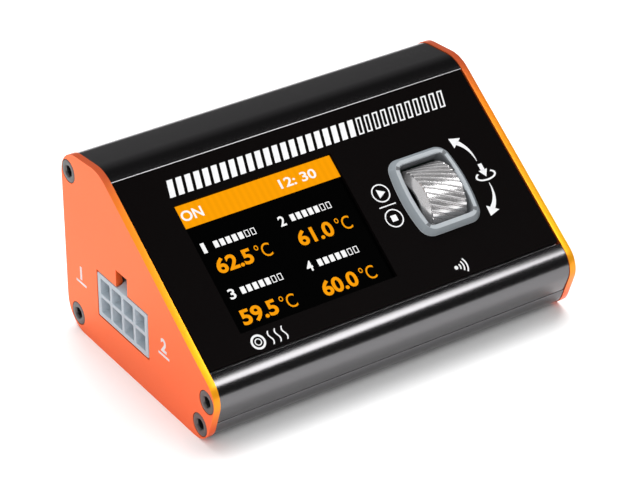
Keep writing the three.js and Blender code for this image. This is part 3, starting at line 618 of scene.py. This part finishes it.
def glow(name, colour, strength, pixel=0.22):
    # A lit part of the display: its colour with the faint grid of the picture's dots
    material = bpy.data.materials.new(name)
    nodes, links = nodes_of(material)
    output = nodes.new("ShaderNodeOutputMaterial")
    place = nodes.new("ShaderNodeTexCoord")
    dots = nodes.new("ShaderNodeTexWave")
    dots.inputs["Scale"].default_value = 1000 / pixel / 20
    dots.inputs["Distortion"].default_value = 0
    links.new(place.outputs["Object"], dots.inputs["Vector"])
    level = nodes.new("ShaderNodeMapRange")
    level.inputs["To Min"].default_value = strength * 0.94
    level.inputs["To Max"].default_value = strength
    links.new(dots.outputs["Fac"], level.inputs["Value"])
    light = nodes.new("ShaderNodeEmission")
    light.inputs["Color"].default_value = (*colour, 1)
    links.new(level.outputs["Result"], light.inputs["Strength"])
    links.new(light.outputs["Emission"], output.inputs["Surface"])
    return material


def word_mesh(words, weight, align, fineness):
    # Words as a mesh of their own, one unit thick, before they get their place
    curve = bpy.data.curves.new("words", "FONT")
    curve.body = words
    curve.extrude = 0.5
    curve.offset = weight
    curve.align_x = align
    curve.resolution_u = fineness
    holder = bpy.data.objects.new("words", curve)
    scene.collection.objects.link(holder)
    solid = bpy.data.meshes.new_from_object(holder.evaluated_get(bpy.context.evaluated_depsgraph_get()))
    bpy.data.objects.remove(holder)
    bpy.data.curves.remove(curve)
    return solid


print_thickness = 0.012


def add_text(bm, words, left, top, width, height, level, weight=0.0):
    # Words fitted to a box of the panel, as thin raised solids
    solid = word_mesh(words, weight, "LEFT", 4)
    low = [min(v.co[axis] for v in solid.vertices) for axis in (0, 1)]
    high = [max(v.co[axis] for v in solid.vertices) for axis in (0, 1)]
    for vertex in solid.vertices:
        a = left + (vertex.co.x - low[0]) / (high[0] - low[0]) * width
        b = top - height + (vertex.co.y - low[1]) / (high[1] - low[1]) * height
        vertex.co = on_panel(a, b, level + (0.5 + vertex.co.z) * print_thickness)
    bm.from_mesh(solid)
    bpy.data.meshes.remove(solid)


def add_shape(bm, outlines, level):
    # Flat outlines of the panel as thin raised solids
    faces = sheet(bm, outlines, lambda a, b: on_panel(a, b, level))
    thicken(bm, faces, print_thickness * panel_normal)


def box_outline(left, top, width, height):
    return [(left, top), (left, top - height), (left + width, top - height), (left + width, top)]


screen = -seat + 0.004
header_glow = glow("header_glow", (1.0, 0.36, 0.002), 1.0)
number_glow = glow("number_glow", (1.0, 0.36, 0.004), 1.0)
white_glow = glow("white_glow", (1.0, 1.0, 1.0), 1.0)
bm = bmesh.new()
add_shape(bm, [box_outline(-30.75, -7.95, 35.0, 4.8)], screen)
piece("display_header", bm, header_glow, "case")
bm = bmesh.new()
add_text(bm, "ON", -30.0, -9.2, 4.6, 2.15, screen + 0.014, 0.02)
add_text(bm, "12: 30", -8.4, -9.35, 8.2, 2.0, screen + 0.014, 0.02)
labels = [("1", -29.2, -16.3), ("2", -12.3, -16.3), ("3", -28.7, -26.4), ("4", -11.65, -26.4)]
for digit, left, top in labels:
    add_text(bm, digit, left, top, 0.8 if digit == "1" else 1.35, 2.1, screen, 0.02)
    for step in range(7):
        start = left + 2.6 + step * 1.35
        bar = box_outline(start, top - 0.35, 0.95, 1.4)
        hollow = box_outline(start + 0.16, top - 0.51, 0.63, 1.08)
        add_shape(bm, [bar] if step < 5 else [bar, hollow], screen)
piece("display_labels", bm, white_glow, "case")
bm = bmesh.new()
numbers = [("62.5", -28.3, -20.0), ("61.0", -10.4, -20.2), ("59.5", -28.7, -30.9), ("60.0", -10.9, -31.0)]
for words, left, top in numbers:
    add_text(bm, words, left, top, 7.8, 3.2, screen, 0.03)
    add_text(bm, "°C", left + 8.7, top - 0.1, 3.2, 2.9, screen)
piece("display_numbers", bm, number_glow, "case")

# Print on the panel
# White screen print: a scale of slanted bars along the top, the pictograms beside the roller, and two small
# pictograms along the lower edge.
ink = surface("white_ink", (0.66, 0.66, 0.67), 0.5, grain=0.15, relief=0.002, uneven=0.04)
bm = bmesh.new()
ink_level = 0.002


def slanted_bar(left, width, top, height, lean):
    right = left + width
    return [(left + lean, top), (left, top - height), (right, top - height), (right + lean, top)]


for step in range(33):
    left = -30.6 + step * 1.93
    bar = slanted_bar(left, 1.25, -2.85, 3.5, 0.9)
    hollow = slanted_bar(left + 0.36, 0.62, -3.13, 2.94, 0.756)
    add_shape(bm, [bar] if step < 22 else [bar, hollow], ink_level)


def ring_outline(middle, radius, line, steps=40):
    return [circle(middle, radius, steps), circle(middle, radius - line, steps)[::-1]]


def tapered(points, widths):
    # A curved stroke with a half width that changes from its start to its end
    upper, lower = [], []
    for k, (a, b) in enumerate(points):
        before, after = points[max(k - 1, 0)], points[min(k + 1, len(points) - 1)]
        along = Vector((after[0] - before[0], after[1] - before[1])).normalized()
        half = widths[0] + (widths[1] - widths[0]) * k / (len(points) - 1)
        upper.append((a - along.y * half, b + along.x * half))
        lower.append((a + along.y * half, b - along.x * half))
    return upper + lower[::-1]


def bend(start, middle, end, steps=14):
    points = []
    for k in range(steps + 1):
        t = k / steps
        points.append(tuple(
            (1 - t) ** 2 * s + 2 * t * (1 - t) * m + t * t * e for s, m, e in zip(start, middle, end)
        ))
    return points


def arc_band(middle, outer, inner, start, end, step):
    # A part of a flat ring between two ellipses, given by their half widths and half heights, in degrees
    turns = [math.radians(t) for t in range(start, end + 1, step)]
    far = [(middle[0] + outer[0] * math.cos(t), middle[1] + outer[1] * math.sin(t)) for t in turns]
    near = [(middle[0] + inner[0] * math.cos(t), middle[1] + inner[1] * math.sin(t)) for t in turns]
    return far + near[::-1]


play = (9.73, -18.89)
stop = (9.73, -24.47)
for middle in (play, stop):
    add_shape(bm, ring_outline(middle, 1.95, 0.26), ink_level)
triangle = [(play[0] - 0.65, play[1] + 0.95), (play[0] - 0.65, play[1] - 0.95), (play[0] + 1.05, play[1])]
add_shape(bm, [triangle], ink_level)
add_shape(bm, [box_outline(stop[0] - 0.65, stop[1] + 0.65, 1.3, 1.3)], ink_level)
add_shape(bm, [box_outline(7.86, -21.55, 3.79, 0.24)], ink_level)
turning_arrows = [
    (((32.45, -19.1), (32.5, -16.0), (30.4, -14.25)), [(29.16, -12.97), (31.65, -13.54), (29.38, -15.18)]),
    (((32.5, -24.1), (32.6, -27.2), (30.3, -29.2)), [(29.12, -30.57), (29.26, -28.32), (31.54, -29.87)]),
]
for course, head in turning_arrows:
    add_shape(bm, [tapered(bend(*course), (0.06, 0.52))], ink_level)
    add_shape(bm, [head], ink_level)
add_shape(bm, [box_outline(32.2, -19.84, 0.9, 1.55)], ink_level)
add_shape(bm, [[(31.65, -21.2), (32.65, -22.75), (33.65, -21.2)]], ink_level)
add_shape(bm, [arc_band((32.63, -22.49), (2.4, 1.1), (1.95, 0.74), 132, 408, 12)], ink_level)
for radius in (1.0, 1.75, 2.5):
    wave = arc_band((16.6, -37.9), (radius, radius), (radius - 0.3, radius - 0.3), -38, 38, 6)
    add_shape(bm, [wave], ink_level)
add_shape(bm, [circle((16.5, -37.9), 0.4, 16)], ink_level)
tyre = (-28.3, -38.0)
add_shape(bm, ring_outline(tyre, 1.5, 0.42), ink_level)
add_shape(bm, ring_outline(tyre, 0.72, 0.2), ink_level)
for wave in range(3):
    left = -25.6 + wave * 1.5
    crests = [(left + 0.28 * math.sin(k * math.pi / 4), -39.4 + 0.35 * k) for k in range(9)]
    stroke = [(a + 0.14, b) for a, b in crests] + [(a - 0.14, b) for a, b in crests[::-1]]
    add_shape(bm, [stroke], ink_level)
piece("panel_print", bm, ink, "case")

# Print on the left end plate
# White numbers beside the socket, one for each of the two tyres that it serves, each over a short rule,
# screen printed on the anodised face.
bm = bmesh.new()
plate_face = -(body_end + plate_thickness) - 0.002
plate_print_thickness = 0.006


def add_plate_number(bm, digit, y, z, height):
    # A number on the left end plate, read from the left: its right-hand side is towards -Y
    solid = word_mesh(digit, 0.035, "CENTER", 12)
    size = height / 0.69
    for vertex in solid.vertices:
        depth = -plate_print_thickness * vertex.co.z
        vertex.co = (plate_face + depth, y - vertex.co.x * size, z + vertex.co.y * size)
    bm.from_mesh(solid)
    bpy.data.meshes.remove(solid)


for digit, y, z in (("1", 20.9, 12.3), ("2", -9.3, 12.5)):
    add_plate_number(bm, digit, y + section_shift, z, 2.7)
    low, high = y + section_shift - 1.9, y + section_shift + 1.9
    rule = [(low, z - 1.1), (high, z - 1.1), (high, z - 0.6), (low, z - 0.6)]
    bar = sheet(bm, [rule], lambda a, b: (plate_face, a, b))
    thicken(bm, bar, (-plate_print_thickness, 0, 0))
piece("plate_print", bm, ink, "case")

# Bezel
# The moulded grey plastic frame round the roller, pressed into the panel. Its sides bulge; it has a broad
# sloping flank outside, a flat crest and a fine chamfer round the opening.
bezel_grey = surface("bezel_grey", (0.33, 0.355, 0.375), 0.42, grain=0.12, relief=0.003, uneven=0.06)
# The flank and the wall of the opening are darker copies of the bezel's grey: painted shade
bezel_flank_painted_shade = surface("bezel_flank_painted_shade", (0.215, 0.24, 0.26), 0.42, grain=0.12, relief=0.003, uneven=0.06)
bezel_wall_painted_shade = surface("bezel_wall_painted_shade", (0.10, 0.107, 0.115), 0.5, grain=0.12, relief=0.003, uneven=0.06)
bezel_middle = (20.5, -22.05)
bezel_side_radius = 32


def barrel(middle, width, height, radius, side_radius, steps=10):
    # A rounded rectangle whose left and right sides are wide arcs that run into the corners
    rise = height / 2 - radius
    run = width / 2 - side_radius + math.sqrt((side_radius - radius) ** 2 - rise ** 2)
    meet = math.atan2(rise, run - width / 2 + side_radius)
    quarter = []
    for k in range(steps + 1):
        turn = meet * k / steps
        quarter.append((width / 2 - side_radius + side_radius * math.cos(turn), side_radius * math.sin(turn)))
    for k in range(1, steps + 1):
        turn = meet + (math.pi / 2 - meet) * k / steps
        quarter.append((run + radius * math.cos(turn), rise + radius * math.sin(turn)))
    points = quarter + [(-a, b) for a, b in quarter[::-1]]
    points += [(-a, -b) for a, b in quarter[1:]] + [(a, -b) for a, b in quarter[::-1][:-1]]
    return [(middle[0] + a, middle[1] + b) for a, b in points]


def bezel_ring(width, height, radius, level):
    outline = barrel(bezel_middle, width, height, radius, bezel_side_radius)
    return [tuple(on_panel(a, b, level)) for a, b in outline]


bm = bmesh.new()
ring_faces(bm, [
    bezel_ring(11.3, 13.4, 1.3, -1.5),
    bezel_ring(11.3, 13.4, 1.3, 0.95),
    bezel_ring(11.36, 13.46, 1.33, 1.02),
    bezel_ring(11.7, 13.8, 1.5, 1.2),
    bezel_ring(11.8, 13.9, 1.55, 1.22),
    bezel_ring(13.25, 15.3, 2.25, 1.22),
    bezel_ring(13.36, 15.4, 2.3, 1.18),
    bezel_ring(15.4, 16.95, 2.85, 0.14),
    bezel_ring(15.5, 17.05, 2.9, 0.0),
    bezel_ring(12.6, 14.9, 2.5, 0.0),
    bezel_ring(12.6, 14.9, 2.5, -1.5),
    bezel_ring(11.3, 13.4, 1.3, -1.5),
], closed_start=False, closed_end=False)
bmesh.ops.remove_doubles(bm, verts=bm.verts, dist=1e-4)
bezel = piece("roller_bezel", bm, bezel_grey, "case", ["wheel_bezel"], smooth_under=25)
bezel.data.materials.append(bezel_flank_painted_shade)
bezel.data.materials.append(bezel_wall_painted_shade)
# Painted shade: the wall of the opening gets the darkest copy of the grey and the outer flank the darker one
for polygon in bezel.data.polygons:
    a, b, height = panel_frame.inverted() @ (polygon.center / MM) - Vector((*bezel_middle, 0))
    if abs(a) < 5.67 and abs(b) < 6.72:
        polygon.material_index = 2
    elif 0.1 < height < 1.15 and (abs(a) > 5.95 or abs(b) > 7.0):
        polygon.material_index = 1

# Roller rim
# The bright plated rim of the thumb roller: slanting ribs round its middle, a smooth cone at its left end and
# a dark hub pressed into it.
roller_axis = Vector((20.5, -5.3965, 21.7846))
rib_count = 34
rib_samples = 16
rim_radius = 7.1
rib_depth = 0.24
knurl_left, knurl_right = -3.45, 4.7
helix = math.tan(math.radians(27))
silver = surface("bright_silver", (0.83, 0.815, 0.82), 0.25, metallic=0.85, grain=0.5, relief=0, uneven=0.03)
bm = bmesh.new()


def roller_ring(x, radius, ribbed=0.0):
    # A ring of points round the axis, turned with the ribs' slant, with a share of the grooves' depth
    points = []
    steps = rib_count * rib_samples
    for k in range(steps):
        turn = math.tau * k / steps + x * helix / rim_radius
        phase = rib_count * k / steps % 1
        groove = 0.5 + 0.5 * math.cos(math.pi * min(1.0, abs(phase - 0.5) / 0.2))
        reach = radius - ribbed * rib_depth * groove
        across, up = reach * math.cos(turn), reach * math.sin(turn)
        points.append((roller_axis.x + x, roller_axis.y + across, roller_axis.z + up))
    return points


bore_radius, bore_half = 4.8, 3.4
cone_end, cone_radius = -4.6, 5.45
rings = [
    roller_ring(-bore_half, bore_radius),
    roller_ring(cone_end + 0.1, bore_radius),
    roller_ring(cone_end, bore_radius + 0.1),
    roller_ring(cone_end, cone_radius - 0.06),
    roller_ring(cone_end + 0.06, cone_radius),
    roller_ring(knurl_left - 0.1, 6.78),
    roller_ring(knurl_left - 0.02, 6.84),
    roller_ring(knurl_left, rim_radius - 0.1, 0.7),
]
for k in range(21):
    x = knurl_left + 0.06 + k * (knurl_right - knurl_left - 0.12) / 20
    rings.append(roller_ring(x, rim_radius, 1))
rings += [
    roller_ring(knurl_right, rim_radius - 0.1, 0.7),
    roller_ring(knurl_right + 0.02, 6.8),
    roller_ring(knurl_right + 0.02, bore_radius + 0.1),
]
for k in range(9):
    rings.append(roller_ring(bore_half - 2 * bore_half * k / 8, bore_radius))
ring_faces(bm, rings, closed_start=False, closed_end=False)
bmesh.ops.remove_doubles(bm, verts=bm.verts, dist=1e-4)
piece("roller_rim", bm, silver, "wheel", ["wheel_rim"], smooth_under=50)

# Sockets
# Light grey moulded housings with two rows of four square cells, one in each end plate, with a latch ramp on
# the top wall. Each stands through its plate's cut-out and is soldered to the main board.
socket_grey = surface("socket_grey", (0.40, 0.46, 0.51), 0.4, grain=0.15, uneven=0.05)
cell_pitch, cell_width, cell_depth = 4.2, 3.4, 7.8
back_wall = 1.8
ramp_width = 3.5
for side, end in ((-1, "left"), (1, "right")):
    face_x = side * (body_end + plate_thickness)
    sy, sz = socket_middle
    bm = bmesh.new()
    cells = []
    for row in (-0.5, 0.5):
        for column in (-1.5, -0.5, 0.5, 1.5):
            middle = (sy + cell_pitch * column, sz + cell_pitch * row)
            cells.append(rounded(middle, cell_width, cell_width, 0.25, 3))
    edge = rounded(socket_middle, socket_size[0], socket_size[1], 0.3, 3)
    faces = sheet(bm, [edge] + cells, lambda y, z: (face_x, y, z))
    thicken(bm, faces, (-side * cell_depth, 0, 0))
    back_faces = sheet(bm, [edge], lambda y, z: (face_x - side * cell_depth, y, z))
    thicken(bm, back_faces, (-side * back_wall, 0, 0))
    front = sharp_edges(bm, 60, lambda e: all(abs(v.co.x - face_x) < 1e-4 for v in e.verts))
    bevel_edges(bm, front, 0.12)
    ramp_side = [(0, 0), (-side * 2.0, 1.2), (-side * 2.8, 1.2), (-side * 2.8, 0)]
    ramp_foot = sz + socket_size[1] / 2
    base = [bm.verts.new((face_x + a, sy - ramp_width / 2, ramp_foot + b)) for a, b in ramp_side]
    thicken(bm, [bm.faces.new(base)], (0, ramp_width, 0))
    piece(f"{end}_socket_housing", bm, socket_grey, "case", [f"{end}_socket"])

# Parts inside the case
# The boards with their components, the pins, the power inlet and the roller's carrier keep the shapes of the
# CAD. Each takes the finish of what it is made of: lacquered board, moulded plastic, tinned or bare brass,
# drawn cans, ribbon.
finishes = {
    "board_green": surface("board_lacquer", (0.012, 0.13, 0.05), 0.35, grain=0.8, uneven=0.25, coat=0.2),
    "white_plastic": surface("natural_nylon", (0.78, 0.77, 0.73), 0.45, grain=0.2, uneven=0.06),
    "dark_plastic": surface(
        "moulded_black", (0.018, 0.018, 0.019), 0.5, grain=0.15, relief=0.006, uneven=0.2,
    ),
    "tinned": surface("tinned_brass", (0.62, 0.61, 0.58), 0.32, metallic=1, relief=0.002, uneven=0.12),
    "brass": surface("bare_brass", (0.72, 0.5, 0.2), 0.3, metallic=1, relief=0.002, uneven=0.12),
    "ribbon_white": surface(
        "ribbon_sleeve", (0.72, 0.72, 0.7), 0.5, grain=0.6, relief=0.02, stretch=(1, 0.05, 0.05),
    ),
    "bright_silver": surface("drawn_can", (0.78, 0.78, 0.79), 0.28, metallic=1, grain=0.15, relief=0.002),
    "screw_steel": surface("plain_steel", (0.42, 0.41, 0.4), 0.35, metallic=1, grain=0.15, relief=0.002),
}
for name in sorted(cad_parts):
    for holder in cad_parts[name].material_slots:
        if holder.material and holder.material.name in finishes:
            holder.material = finishes[holder.material.name]
